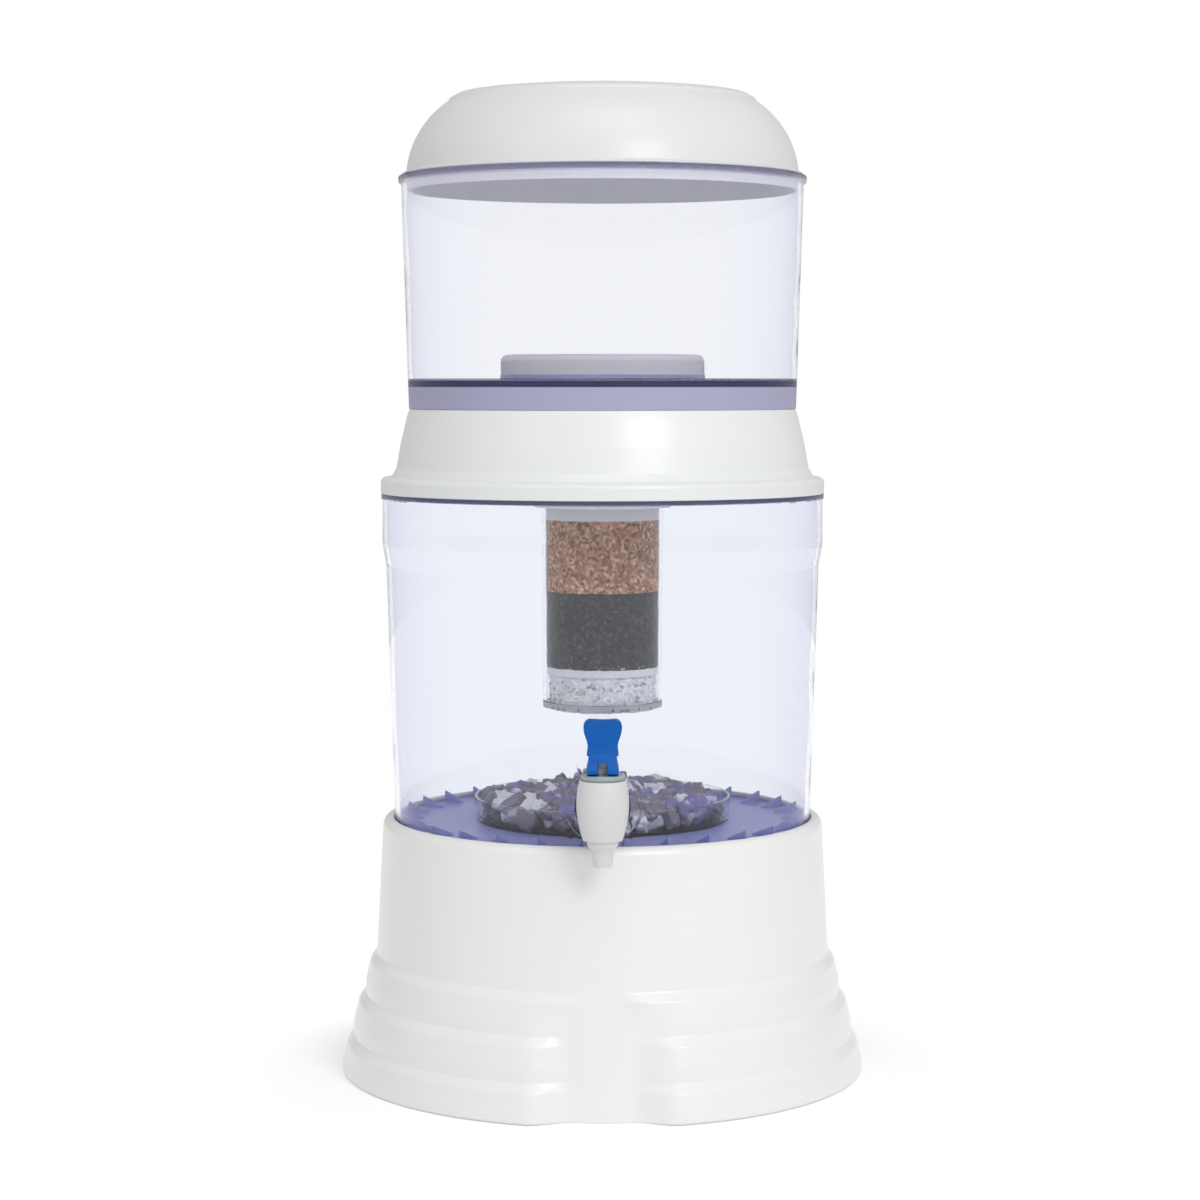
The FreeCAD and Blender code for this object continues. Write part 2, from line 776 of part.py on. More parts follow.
def tap_spring():
    """Wire wound in quarter turns, each of two arcs that meet smoothly."""
    foot = seat_z + cup_height + spring_wire + 0.2
    top = plug_foot_z - spring_wire - 0.2
    rise = (top - foot) / (spring_turns * 2 * math.pi)

    def on_helix(turn):
        return Vector(
            spring_radius * math.cos(turn), tap_y + spring_radius * math.sin(turn), foot + rise * turn)

    def along_helix(turn):
        return Vector(-spring_radius * math.sin(turn), spring_radius * math.cos(turn), rise).normalize()

    edges = []
    step = math.pi / 2
    for i in range(4 * spring_turns):
        start, end = on_helix(i * step), on_helix((i + 1) * step)
        leave, arrive = along_helix(i * step), along_helix((i + 1) * step)
        chord = end - start
        sum_dir = leave + arrive
        a = 2 * (1 - leave.dot(arrive))
        b = 2 * chord.dot(sum_dir)
        reach = (-b + math.sqrt(b * b + 4 * a * chord.dot(chord))) / (2 * a)
        join = (start + leave * reach + end - arrive * reach) * 0.5
        edges.append(Part.Arc(start, arc_middle(start, leave, join), join).toShape())
        edges.append(Part.Arc(join, arc_middle(end, arrive * -1, join), end).toShape())
    path = Part.Wire(edges)
    outward = Vector(1, 0, 0)
    upward = along_helix(0).cross(outward)
    corners = []
    for i in range(6):
        angle = math.radians(60 * i)
        corners.append(on_helix(0) + (outward * math.cos(angle) + upward * math.sin(angle)) * spring_wire)
    section = Part.makePolygon(corners + corners[:1])
    return path.makePipeShell([section], True, False)


def arc_middle(start, direction, end):
    """Middle of the arc that leaves start along direction and reaches end."""
    chord = end - start
    half_turn = direction.getAngle(chord)
    across = chord.cross(direction).cross(chord).normalize()
    sagitta = chord.Length / 2 * math.tan(half_turn / 2)
    return start + chord * 0.5 + across * sagitta


def tap_washer(face_y, thickness, radius):
    """Washer on the shank, from face_y towards the front."""
    return rod_along_y(radius, face_y - thickness, face_y, tap_z).cut(
        rod_along_y(shank_hole_radius, face_y - thickness - 1, face_y + 1, tap_z))


def tap_nut():
    start = pad_face_y + tap_washer_thickness
    corner = tap_nut_flats / math.sqrt(3)
    corners = []
    for i in range(6):
        angle = math.radians(60 * i)
        corners.append(Vector(corner * math.cos(angle), start, tap_z + corner * math.sin(angle)))
    hexagon = Part.Face(Part.makePolygon(corners + corners[:1]))
    nut = hexagon.extrude(Vector(0, tap_nut_height, 0))
    return nut.cut(rod_along_y(shank_hole_radius, start - 1, start + tap_nut_height + 1, tap_z))


# Lever: its foot is an involute, so that the lift grows evenly with the swing
def lever_foot_point(swing):
    """Point of the foot that rests on the bonnet when the lever has swung by this angle."""
    per_radian = lever_lift / math.radians(lever_swing)
    support = lever_pin_height - lever_foot_gap + per_radian * swing
    normal = Vector(0, -math.sin(swing), -math.cos(swing))
    tangent = Vector(0, -math.cos(swing), math.sin(swing))
    return Vector(0, tap_y, pin_z) + normal * support + tangent * per_radian


def tap_lever():
    foot_z = bonnet_top_z + lever_foot_gap
    top_z = foot_z + lever_height + lever_pin_height
    cam_points = [lever_foot_point(math.radians(lever_swing) * i / 6) for i in range(7)]
    cam = Part.BSplineCurve()
    cam.interpolate(cam_points)
    toe = cam_points[-1]
    heel = Vector(0, tap_y + lever_heel, foot_z)
    side = [
        toe,
        Vector(0, toe.y + 0.2, toe.z + 1.6),
        Vector(0, tap_y - 5.6, pin_z + 5.0),
        Vector(0, tap_y - 4.2, pin_z + 12.0),
        Vector(0, tap_y - 5.4, top_z),
        Vector(0, tap_y + 2.0, top_z),
        Vector(0, tap_y + 3.2, pin_z + 12.0),
        Vector(0, tap_y + lever_heel, pin_z + 1.0),
        heel,
        cam_points[0],
    ]
    edges = [cam.toShape()]
    for start, end in zip(side, side[1:]):
        edges.append(Part.makeLine(start, end))
    side_wire = Part.Wire(edges)
    half_top = lever_top_width / 2
    slab = Part.Face(side_wire).extrude(Vector(lever_top_width + 4, 0, 0))
    slab.translate(Vector(-half_top - 2, 0, 0))
    half_foot = lever_foot_width / 2
    half_waist = lever_waist_width / 2
    waist_z = foot_z + 0.42 * (top_z - foot_z)
    front = Part.Face(outline([
        (-half_foot, foot_z - 1),
        (half_foot, foot_z - 1),
        (half_foot, foot_z + 3.4),
        (half_waist, waist_z, "via"),
        (half_top, top_z - 6.5),
        (half_top, top_z, 4.0),
        (-half_top, top_z, 4.0),
        (-half_top, top_z - 6.5),
        (-half_waist, waist_z, "via"),
        (-half_foot, foot_z + 3.4),
    ], lambda a, b: Vector(a, tap_y - 30, b))).extrude(Vector(0, 60, 0))
    lever = slab.common(front)
    half_slot = stem_tongue / 2 + lever_slot_gap
    slot_top = pin_z + stem_eye_radius + 0.5
    slot = block(-half_slot, half_slot, tap_y - 30, tap_y + stem_eye_radius + 0.5, foot_z - 2, pin_z)
    crown = rod_along_x(slot_top - pin_z, 2 * half_slot, tap_y, pin_z)
    front_slot = block(-half_slot, half_slot, tap_y - 30, tap_y, pin_z - 2, pin_z + 1.2)
    pin_hole = rod_along_x(lever_pin_radius, lever_top_width + 4, tap_y, pin_z)
    return lever.cut(Part.makeCompound([slot, crown, front_slot, pin_hole]))


def lever_pin():
    return rod_along_x(lever_pin_radius, lever_pin_length, tap_y, pin_z)


# Layers of the cartridge, from the cap down
pad_foot_z = shell_top_z - pad_thickness
grain_foot_z = pad_foot_z - grain_depth
carbon_foot_z = grain_foot_z - carbon_depth
divider_foot_z = carbon_foot_z - divider_thickness
washer_z = upper_floor_z - upper_floor_thickness - filter_seat_depth

save("base_stand", stand())
save("lower_tank", lower_tank())
save("lower_tank_gussets", floor_gussets())
save("mineral_tray", mineral_tray())
save("mineral_stones", mineral_stones())
save("tap_body", tap_body())
save("tap_bonnet", tap_bonnet())
save("tap_stem", tap_stem())
save("tap_seat_cup", tap_seat_cup())
save("tap_spring", tap_spring())
save("tap_outer_washer", tap_washer(boss_face_y, tap_washer_thickness, tap_washer_radius))
save("tap_inner_washer", tap_washer(
    pad_face_y + tap_washer_thickness, tap_washer_thickness, tap_flange_radius))
save("tap_nut", tap_nut())
save("tap_lever", tap_lever())
save("tap_lever_pin", lever_pin())
save("separator", separator())
save("cartridge_gasket", ring(
    socket_radius, socket_radius + gasket_width, cap_top_z, lower_rim_z))
save("cartridge_cap", cartridge_cap())
save("cartridge_shell", cartridge_shell())
save("cartridge_top_pad", filling(pad_foot_z, shell_top_z, 0, 0))
save("cartridge_grains", filling(grain_foot_z, pad_foot_z, 1.5, 0))
save("cartridge_carbon", filling(carbon_foot_z, grain_foot_z, 3.0, 1.5))
save("cartridge_divider", filling(divider_foot_z, carbon_foot_z, 3.0, 3.0))
save("cartridge_mineral_chips", filling(shell_foot_z, divider_foot_z, belly_drop, 3.0))
save("cartridge_base", cartridge_base())
save("upper_tank", upper_tank())
save("prefilter_base", prefilter_base())
save("prefilter_ceramic", prefilter_ceramic())
save("prefilter_seal", ring(
    stem_hole_radius, seal_radius, upper_floor_z, upper_floor_z + seal_thickness))
save("prefilter_washer", ring(
    stem_hole_radius, seal_radius, washer_z - seal_thickness, washer_z))
save("prefilter_wing_nut", wing_nut(washer_z - seal_thickness))
save("lid", lid())
print(f"height {lid_top_z:.1f}  tap axis y {tap_y:.2f} z {tap_z:.2f}  pin z {pin_z:.2f}")
print(f"lift per radian {lever_lift / math.radians(lever_swing):.4f}")
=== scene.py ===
# %% [markdown]
# A gravity water filter stands on a worktop: two clear tanks, a white stand, and a tap in front.
# The imported model gives every piece its place and size. This script gives the pieces their looks:
# clear blue plastic, glossy white mouldings, stones, grains and a blue lever.
# We load the frame first, and measure it.

import json
import math
import random

import bpy
from mathutils import Matrix, Vector, noise


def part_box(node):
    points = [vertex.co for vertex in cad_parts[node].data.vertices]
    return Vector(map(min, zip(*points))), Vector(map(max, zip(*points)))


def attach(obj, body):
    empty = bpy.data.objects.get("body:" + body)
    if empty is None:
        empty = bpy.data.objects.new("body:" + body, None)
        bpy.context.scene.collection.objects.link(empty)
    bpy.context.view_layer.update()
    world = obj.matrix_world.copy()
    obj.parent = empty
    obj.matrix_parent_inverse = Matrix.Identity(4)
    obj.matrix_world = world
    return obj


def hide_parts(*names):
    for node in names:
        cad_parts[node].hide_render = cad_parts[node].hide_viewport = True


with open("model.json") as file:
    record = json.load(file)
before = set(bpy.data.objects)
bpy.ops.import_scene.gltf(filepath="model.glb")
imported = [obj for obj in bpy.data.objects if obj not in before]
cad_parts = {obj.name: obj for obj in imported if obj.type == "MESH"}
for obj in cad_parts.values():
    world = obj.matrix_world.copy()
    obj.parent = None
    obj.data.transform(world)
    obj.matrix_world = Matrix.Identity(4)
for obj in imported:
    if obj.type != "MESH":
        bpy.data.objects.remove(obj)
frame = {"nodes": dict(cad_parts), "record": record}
record = frame["record"]
nodes = frame["nodes"]
body_of = {node: body for body, members in record["behaviour"]["bodies"].items() for node in members}
slot_of = {part["node"]: part["material_slot"] for part in record["subparts"]}
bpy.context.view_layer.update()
mm = 0.001

# %% [markdown]
# The camera stands 1.6 m in front of the filter, at the height of the upper tank's floor, which
# therefore shows as a single line. It looks down by a little over four degrees, so the stand's
# lowest step curves towards us. A lens of 87 mm keeps the sides nearly upright.

# %% Camera
camera_distance, camera_height, camera_aside = 1604, 380.5, -1.38
camera_tilt = 4.279
camera_data = bpy.data.cameras.new("camera")
camera_data.sensor_width = 36
camera_data.lens = 87
camera = bpy.data.objects.new("camera", camera_data)
camera.location = (camera_aside * mm, -camera_distance * mm, camera_height * mm)
camera.rotation_euler = (math.radians(90 - camera_tilt), 0, 0)
bpy.context.scene.collection.objects.link(camera)
bpy.context.scene.camera = camera
bpy.context.scene.view_settings.view_transform = "Standard"
print("camera at", tuple(round(v, 3) for v in camera.location))

# %% [markdown]
# Shader maths reads best as sums. An Expression wraps the output of a node, and each operator
# adds the Math node that works it out. Every other node comes from one method, node(), which
# takes the kind of node, its settings and what its sockets hold. A Finish is one material.

# %% Expressions and finishes
class Expression:
    """A socket that can be used in sums."""

    def __init__(self, finish, socket):
        self.finish = finish
        self.socket = socket

    def math(self, operation, first, second=0.0):
        return self.finish.node("ShaderNodeMath", {"operation": operation}, {0: first, 1: second})

    def __add__(self, other):
        return self.math("ADD", self, other)

    def __radd__(self, other):
        return self.math("ADD", other, self)

    def __sub__(self, other):
        return self.math("SUBTRACT", self, other)

    def __rsub__(self, other):
        return self.math("SUBTRACT", other, self)

    def __mul__(self, other):
        return self.math("MULTIPLY", self, other)

    def __rmul__(self, other):
        return self.math("MULTIPLY", other, self)

    def __pow__(self, other):
        return self.math("POWER", self, other)


class Finish:
    """A material whose Principled shader is named in plain keywords."""

    def __init__(self, name, **values):
        self.material = bpy.data.materials.new(name)
        self.material.use_nodes = True
        self.tree = self.material.node_tree
        self.shader = self.tree.nodes["Principled BSDF"]
        self.set(**values)

    def set(self, **values):
        for name, value in values.items():
            self.plug(self.shader.inputs[name.replace("_", " ")], value)

    def plug(self, socket, value):
        if isinstance(value, Expression):
            self.tree.links.new(value.socket, socket)
        else:
            socket.default_value = value

    def node(self, kind, settings=None, sockets=None, output=0):
        """Adds a node: its settings first, then the values or links of its sockets."""
        node = self.tree.nodes.new(kind)
        for name, value in (settings or {}).items():
            if name == "stops":
                ramp = node.color_ramp
                while len(ramp.elements) < len(value):
                    ramp.elements.new(1.0)
                for element, (place, colour) in zip(ramp.elements, value):
                    element.position = place
                    element.color = colour
            else:
                setattr(node, name, value)
        for name, value in (sockets or {}).items():
            self.plug(node.inputs[name], value)
        return Expression(self, node.outputs[output])

    def place(self, scale=(1, 1, 1)):
        """Where a point is, in metres in the frame, times a scale."""
        here = self.node("ShaderNodeTexCoord", output="Object")
        return self.node("ShaderNodeMapping", None, {"Vector": here, "Scale": scale})

    def noise(self, scale, detail=3.0, stretch=(1, 1, 1)):
        """Soft noise from 0 to 1, fixed to the piece."""
        return self.node("ShaderNodeTexNoise", None, {
            "Vector": self.place(stretch), "Scale": scale, "Detail": detail})

    def between(self, factor, low, high):
        """The colour between two, by a factor from 0 to 1."""
        return self.node("ShaderNodeMix", {"data_type": "RGBA"}, {0: factor, 6: low, 7: high}, output=2)

    def bump(self, height, strength, distance):
        """A normal from a height, for the Normal socket."""
        return self.node("ShaderNodeBump", None, {
            "Height": height, "Strength": strength, "Distance": distance})


def tint(red, green, blue):
    """A colour as a screen shows it, from 0 to 255, in the light values that a shader takes."""
    linear = []
    for value in (red, green, blue):
        share = value / 255
        linear.append(share / 12.92 if share < 0.04045 else ((share + 0.055) / 1.055) ** 2.4)
    return (*linear, 1.0)


print("a mid grey of 188 is", round(tint(188, 188, 188)[0], 3), "in light")

# %% [markdown]
# The light is a soft white room. The world gives most of it, and lamps add the long soft
# highlights on the stand's steps. The background has to be pure white, so the world shows white to
# the camera and to what looks through the clear tanks, and a dimmer white to everything else.

# %% World and lamps
room_strength = 0.6
world = bpy.data.worlds.new("room")
bpy.context.scene.world = world
world.use_nodes = True
room = world.node_tree
room_light = room.nodes["Background"]
room_light.inputs["Color"].default_value = (1.0, 1.0, 1.0, 1.0)
room_light.inputs["Strength"].default_value = room_strength
white_wall = room.nodes.new("ShaderNodeBackground")
white_wall.inputs["Strength"].default_value = 1.0
white_wall.inputs["Color"].default_value = (1.0, 1.0, 1.0, 1.0)
rays = room.nodes.new("ShaderNodeLightPath")
seen = room.nodes.new("ShaderNodeMath")
seen.operation = "MAXIMUM"
room.links.new(rays.outputs["Is Camera Ray"], seen.inputs[0])
room.links.new(rays.outputs["Is Transmission Ray"], seen.inputs[1])
choose = room.nodes.new("ShaderNodeMixShader")
room.links.new(seen.outputs[0], choose.inputs[0])
room.links.new(room_light.outputs[0], choose.inputs[1])
room.links.new(white_wall.outputs[0], choose.inputs[2])
room.links.new(choose.outputs[0], room.nodes["World Output"].inputs["Surface"])


def lamp(name, place, aim, width, height, power):
    """A rectangular softbox that looks at a point. Lengths in metres, power in watts."""
    data = bpy.data.lights.new(name, "AREA")
    data.shape = "RECTANGLE"
    data.size = width
    data.size_y = height
    data.energy = power
    light = bpy.data.objects.new(name, data)
    light.location = place
    light.rotation_euler = (Vector(aim) - Vector(place)).to_track_quat("-Z", "Y").to_euler()
    bpy.context.scene.collection.objects.link(light)


lamp("softbox_right", (0.8, -1.7, 1.25), (0, 0, 0), 0.8, 0.7, 12)
lamp("softbox_left", (-1.2, -1.2, 1.3), (0, 0, 0.1), 0.8, 0.8, 1.2)
lamp("softbox_top", (0.1, -0.7, 1.7), (0, 0, 0.1), 0.9, 0.7, 3)
print("lamps", len(bpy.data.lights))

# %% [markdown]
# The floor is white paper. Near the stand it keeps a thin soft shadow, and a little added light
# keeps the paper bright there. Further out it turns to pure white for the camera, for reflections and
# for what looks through the clear tanks, so that no horizon shows in any of them. The distance from
# the stand's axis mixes the two.

# %% Floor
floor_radius = 2.5
shadow_end, white_start = 0.146, 0.2
paper_lift = 0.24
bpy.ops.mesh.primitive_circle_add(
    vertices=96, radius=floor_radius, fill_type="NGON", location=(0, 0, -0.2 * mm))
floor = bpy.context.object
floor.name = "floor"
paper = Finish("floor_paper", Base_Color=(0.9, 0.9, 0.9, 1), Roughness=1.0, Specular_IOR_Level=0.0)
looks = [paper.node("ShaderNodeLightPath", output=name)
         for name in ("Is Camera Ray", "Is Transmission Ray", "Is Glossy Ray")]
looked_at = paper.node("ShaderNodeMath", {"operation": "ADD", "use_clamp": True}, {
    0: looks[0] + looks[1], 1: looks[2]})
distance = paper.node("ShaderNodeVectorMath", {"operation": "LENGTH"}, {0: paper.place()}, output="Value")
far_out = paper.node("ShaderNodeMapRange", {"interpolation_type": "SMOOTHSTEP"}, {
    "Value": distance, "From Min": shadow_end, "From Max": white_start})
lit = Expression(paper, paper.shader.outputs[0])
lift = paper.node("ShaderNodeEmission", None, {"Color": (1, 1, 1, 1), "Strength": looked_at * paper_lift})
white = paper.node("ShaderNodeEmission", None, {"Color": (1, 1, 1, 1), "Strength": 1.0})
near_paper = paper.node("ShaderNodeAddShader", None, {0: lit, 1: lift})
whole = paper.node("ShaderNodeMixShader", None, {0: looked_at * far_out, 1: near_paper, 2: white})
paper.tree.links.new(whole.socket, paper.tree.nodes["Material Output"].inputs["Surface"])
floor.data.materials.append(paper.material)
print("floor radius", floor_radius)

# %% [markdown]
# White mouldings: glossy, slightly warm, with the faint ripple of moulded plastic. The ripple is a
# very low bump, and the gloss varies a little, as it does where hands have touched it.

# %% White plastic
def white_moulding(name, colour, roughness, coat=0.25):
    """Glossy white plastic with a faint cloud in its colour."""
    finish = Finish(name, Coat_Weight=coat, Coat_Roughness=0.22)
    cloud = finish.noise(9.0, 2.0)
    shade = tuple(0.965 * v for v in colour[:3]) + (1.0,)
    finish.set(Base_Color=finish.between(cloud, shade, colour))
    finish.set(Roughness=finish.noise(40.0, 4.0) * 0.12 + roughness)
    ripple = finish.noise(160.0, 2.0)
    finish.set(Normal=finish.bump(ripple, 0.06, 0.4 * mm))
    return finish


white_plastic = white_moulding("white_plastic", tint(248, 248, 246), 0.3, 0.5)
collar_plastic = white_moulding("collar_plastic", tint(238, 240, 240), 0.3)
lid_plastic = white_moulding("lid_plastic", tint(230, 229, 230), 0.36)
# Painted light: the lid's underside is painted paler and lavender. This lifts the shade in its hollow and
# stands in for the blue cast of the light that reaches it through the tank.
facing_down = lid_plastic.node("ShaderNodeSeparateXYZ", None, {
    0: lid_plastic.node("ShaderNodeNewGeometry", output="Normal")}, output="Z")
underside = lid_plastic.node("ShaderNodeMapRange", None, {
    "Value": facing_down, "From Min": -0.1, "From Max": -0.5})
top_colour = Expression(lid_plastic, lid_plastic.shader.inputs["Base Color"].links[0].from_socket)
lid_plastic.set(Base_Color=lid_plastic.between(underside, top_colour, tint(236, 234, 254)))
print("white plastics made")

# %% [markdown]
# The tanks are clear plastic with a blue-violet cast. Seen straight on, a wall is thin and almost
# white. Towards the edges the eye looks along the wall, and the colour gathers, which Layer Weight
# gives. Where the plastic is deep, in the floor plate, the skirt and the rims, the light goes a long
# way through it. Those bands are picked by height, and each has its own tint, haze and a share of
# a milky shader. Their tints are partly the plastic's own colour and partly painted: the upper skirt
# holds painted shade from the dark space behind it, and the milky lower floor paints in the light
# that the shaded stand under it doesn't send through. A low IOR keeps the far side in place, and a
# coat gives the gloss back.

# %% Clear tanks
band_edge = 0.3  # half the height over which a band fades, in mm
band_gloss = 0.45  # the gloss that a band loses


def clear_moulding(name, face_colour, edge_colour, bands=()):
    """Bands are (low, high, colour, haze, milky share), with the heights in millimetres. Some band colours
    hold painted shade and painted light as well as the plastic's tint.
    """
    finish = Finish(name, Transmission_Weight=1.0, IOR=1.08, Coat_Roughness=0.03)
    facing = finish.node("ShaderNodeLayerWeight", None, {"Blend": 0.4}, output="Facing")
    colour = finish.between(facing ** 2.4, face_colour, edge_colour)
    height = finish.node("ShaderNodeSeparateXYZ", None, {0: finish.place()}, output="Z")
    rough, gloss, veil = 0.02, 0.5, 0.0
    for low, high, band_tint_and_painted_shade, haze, share in bands:
        above = finish.node("ShaderNodeMapRange", None, {
            "Value": height, "From Min": (low - band_edge) * mm, "From Max": (low + band_edge) * mm})
        below = finish.node("ShaderNodeMapRange", None, {
            "Value": height, "From Min": (high + band_edge) * mm, "From Max": (high - band_edge) * mm})
        inside = above * below
        colour = finish.between(inside, colour, band_tint_and_painted_shade)
        rough = inside * haze + rough
        gloss = gloss - inside * band_gloss
        veil = inside * share + veil
    finish.set(Base_Color=colour, Roughness=rough, Coat_Weight=gloss)
    if bands:
        clear = Expression(finish, finish.shader.outputs[0])
        milky = finish.node("ShaderNodeBsdfPrincipled", None, {"Base Color": colour, "Roughness": 0.4})
        mixed = finish.node("ShaderNodeMixShader", None, {0: veil, 1: clear, 2: milky})
        finish.tree.links.new(mixed.socket, finish.tree.nodes["Material Output"].inputs["Surface"])
    return finish


lower_foot, lower_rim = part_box("lower_tank")[0].z / mm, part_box("lower_tank")[1].z / mm
lower_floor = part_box("mineral_tray")[0].z / mm
upper_foot, upper_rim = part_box("upper_tank")[0].z / mm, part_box("upper_tank")[1].z / mm
upper_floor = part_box("prefilter_seal")[0].z / mm
print("lower tank", round(lower_foot, 1), round(lower_floor, 1), round(lower_rim, 1))
print("upper tank", round(upper_foot, 1), round(upper_floor, 1), round(upper_rim, 1))
# Painted light in the bands: the upper skirt's colour holds painted shade, and the lower floor's milky blue
# is painted light, standing in for the shaded stand seen through it.
clear_lower = clear_moulding("clear_lower_tank", tint(246, 248, 252), tint(214, 216, 238), [
    (lower_foot - 1, lower_floor + 0.6, tint(158, 161, 226), 0.3, 0.75),
    (lower_rim - 2.4, lower_rim + 1, tint(160, 162, 186), 0.3, 0.0)])
clear_upper = clear_moulding("clear_upper_tank", tint(248, 249, 252), tint(216, 218, 240), [
    (upper_foot - 1, upper_floor - 3.3, tint(196, 194, 224), 0.4, 0.7),
    (upper_floor - 3.3, upper_floor + 0.3, tint(62, 61, 108), 0.1, 0.65),
    (upper_rim - 3.0, upper_rim + 1, tint(196, 196, 210), 0.3, 0.0)])
clear_gusset = Finish("clear_gusset", Transmission_Weight=0.3, IOR=1.1, Roughness=0.3)
clear_gusset.set(Base_Color=clear_gusset.between(
    clear_gusset.noise(60.0), tint(158, 161, 226), tint(176, 179, 238)))
clear_shell = clear_moulding("clear_shell", tint(253, 253, 254), tint(220, 220, 230))
print("clear plastics made")

# %% [markdown]
# Grains, carbon and chips differ in colour and in the size of their grain, so one function makes
# them all. Cells give each grain its own shade. The stones are larger: each has a cloudy body with
# pale veins and a rough skin.

# %% Grains and stones
def granular(name, stops, cell, roughness, bump_strength):
    """Cells of one size, in metres, each with a shade from the stops."""
    finish = Finish(name, Roughness=roughness)
    cells = finish.node(
        "ShaderNodeTexVoronoi", None, {"Vector": finish.place(), "Scale": 1 / cell}, output="Color")
    shade = finish.node("ShaderNodeSeparateColor", None, {0: cells}, output="Red")
    finish.set(Base_Color=finish.node("ShaderNodeValToRGB", {"stops": stops}, {"Fac": shade}))
    edges = finish.node(
        "ShaderNodeTexVoronoi", None, {"Vector": finish.place(), "Scale": 1 / cell}, output="Distance")
    finish.set(Normal=finish.bump(1.0 - edges, bump_strength, 0.5 * cell))
    return finish


brown_grains = granular("brown_grains", [
    (0.0, tint(120, 76, 54)), (0.45, tint(186, 132, 102)), (0.8, tint(214, 162, 128)),
    (1.0, tint(236, 204, 176))], 1.6 * mm, 0.75, 0.8)
black_carbon = granular("black_carbon", [
    (0.0, tint(12, 12, 15)), (0.7, tint(34, 32, 38)), (1.0, tint(82, 80, 86))], 1.3 * mm, 0.6, 0.9)
white_chips = granular("white_chips", [
    (0.0, tint(206, 203, 208)), (0.4, tint(236, 233, 236)), (1.0, tint(252, 250, 252))], 3.0 * mm, 0.6, 0.3)
chip_white = granular("chip_white", [
    (0.0, tint(230, 227, 232)), (1.0, tint(253, 252, 253))], 1.5 * mm, 0.5, 0.3)
chip_grey = granular("chip_grey", [
    (0.0, tint(168, 165, 172)), (1.0, tint(222, 219, 224))], 1.5 * mm, 0.5, 0.3)


def stone_finish(name, dark, light, vein):
    """A cloudy stone between two shades, with veins of a third."""
    finish = Finish(name, Roughness=0.55)
    cloud = finish.noise(120.0, 5.0)
    streak = finish.noise(60.0, 3.0, (1, 1, 3))
    body = finish.between(cloud, dark, light)
    mask = finish.node("ShaderNodeMapRange", None, {"Value": streak, "From Min": 0.56, "From Max": 0.66})
    finish.set(Base_Color=finish.between(mask, body, vein))
    finish.set(Normal=finish.bump(finish.noise(420.0, 4.0), 0.5, 0.4 * mm))
    return finish


stone_dark = stone_finish("stone_dark", tint(88, 84, 98), tint(142, 137, 150), tint(178, 174, 186))
stone_violet = stone_finish("stone_violet", tint(92, 84, 138), tint(146, 138, 184), tint(190, 186, 214))
stone_pale = stone_finish("stone_pale", tint(190, 186, 200), tint(232, 230, 240), tint(250, 249, 252))
print("mineral finishes made")

# %% [markdown]
# The small pieces: off-white tap, blue lever, dark washers, silicone, ceramic, fibre pads and a
# steel spring. Each has its own gloss, and a little unevenness.

# %% Small pieces
def plain_moulding(name, colour, roughness, grain=90.0, strength=0.05, **extra):
    """One colour with a faint cloud, and a fine bump of a given strength."""
    finish = Finish(name, **extra)
    cloud = finish.noise(grain, 3.0)
    shade = tuple(0.93 * v for v in colour[:3]) + (1.0,)
    finish.set(Base_Color=finish.between(cloud, shade, colour))
    finish.set(Roughness=cloud * 0.1 + roughness)
    finish.set(Normal=finish.bump(finish.noise(grain * 8, 3.0), strength, 0.3 * mm))
    return finish


tap_plastic = plain_moulding(
    "tap_plastic", tint(226, 225, 227), 0.3, Subsurface_Weight=0.15, Subsurface_Scale=3 * mm)
bonnet_plastic = plain_moulding("bonnet_plastic", tint(168, 182, 182), 0.3)
blue_plastic = plain_moulding(
    "blue_plastic", tint(0, 94, 182), 0.34, Specular_IOR_Level=0.18, Coat_Weight=0.12, Coat_Roughness=0.08)
dark_rubber = plain_moulding("dark_rubber", tint(74, 74, 82), 0.6, strength=0.2)
silicone = plain_moulding("silicone", tint(208, 209, 212), 0.5, strength=0.1)
ceramic = plain_moulding("ceramic", tint(212, 209, 216), 0.8, 300.0, 0.4)
filter_pad = plain_moulding("filter_pad", tint(250, 249, 252), 0.9, 700.0, 0.8)
cartridge_white = plain_moulding("cartridge_white", tint(246, 245, 248), 0.3)
grey_plastic = plain_moulding("grey_plastic", tint(170, 172, 178), 0.35)
prefilter_plate = plain_moulding("prefilter_plate", tint(154, 156, 202), 0.35)
spring_steel = plain_moulding("spring_steel", tint(190, 191, 193), 0.25, Metallic=1.0)
print("small finishes made")

# %% [markdown]
# The stand and the collar are round, like something turned on a lathe. We draw half of the outline
# vertex by vertex, round its corners with vertex bevels, and spin it round the tanks' axis. Everything
# is deselected first, because an operator acts on all that is selected.

# %% Outline and spin
def start_piece():
    if bpy.context.object and bpy.context.object.mode != "OBJECT":
        bpy.ops.object.mode_set(mode="OBJECT")
    bpy.ops.object.select_all(action="DESELECT")


def select_points(piece, wanted):
    """Selects the vertices of a piece in edit mode whose place passes a test."""
    bpy.ops.object.mode_set(mode="OBJECT")
    for vertex in piece.data.vertices:
        vertex.select = wanted(vertex.co)
    for edge in piece.data.edges:
        edge.select = all(piece.data.vertices[i].select for i in edge.vertices)
    for face in piece.data.polygons:
        face.select = all(piece.data.vertices[i].select for i in face.vertices)
    bpy.ops.object.mode_set(mode="EDIT")


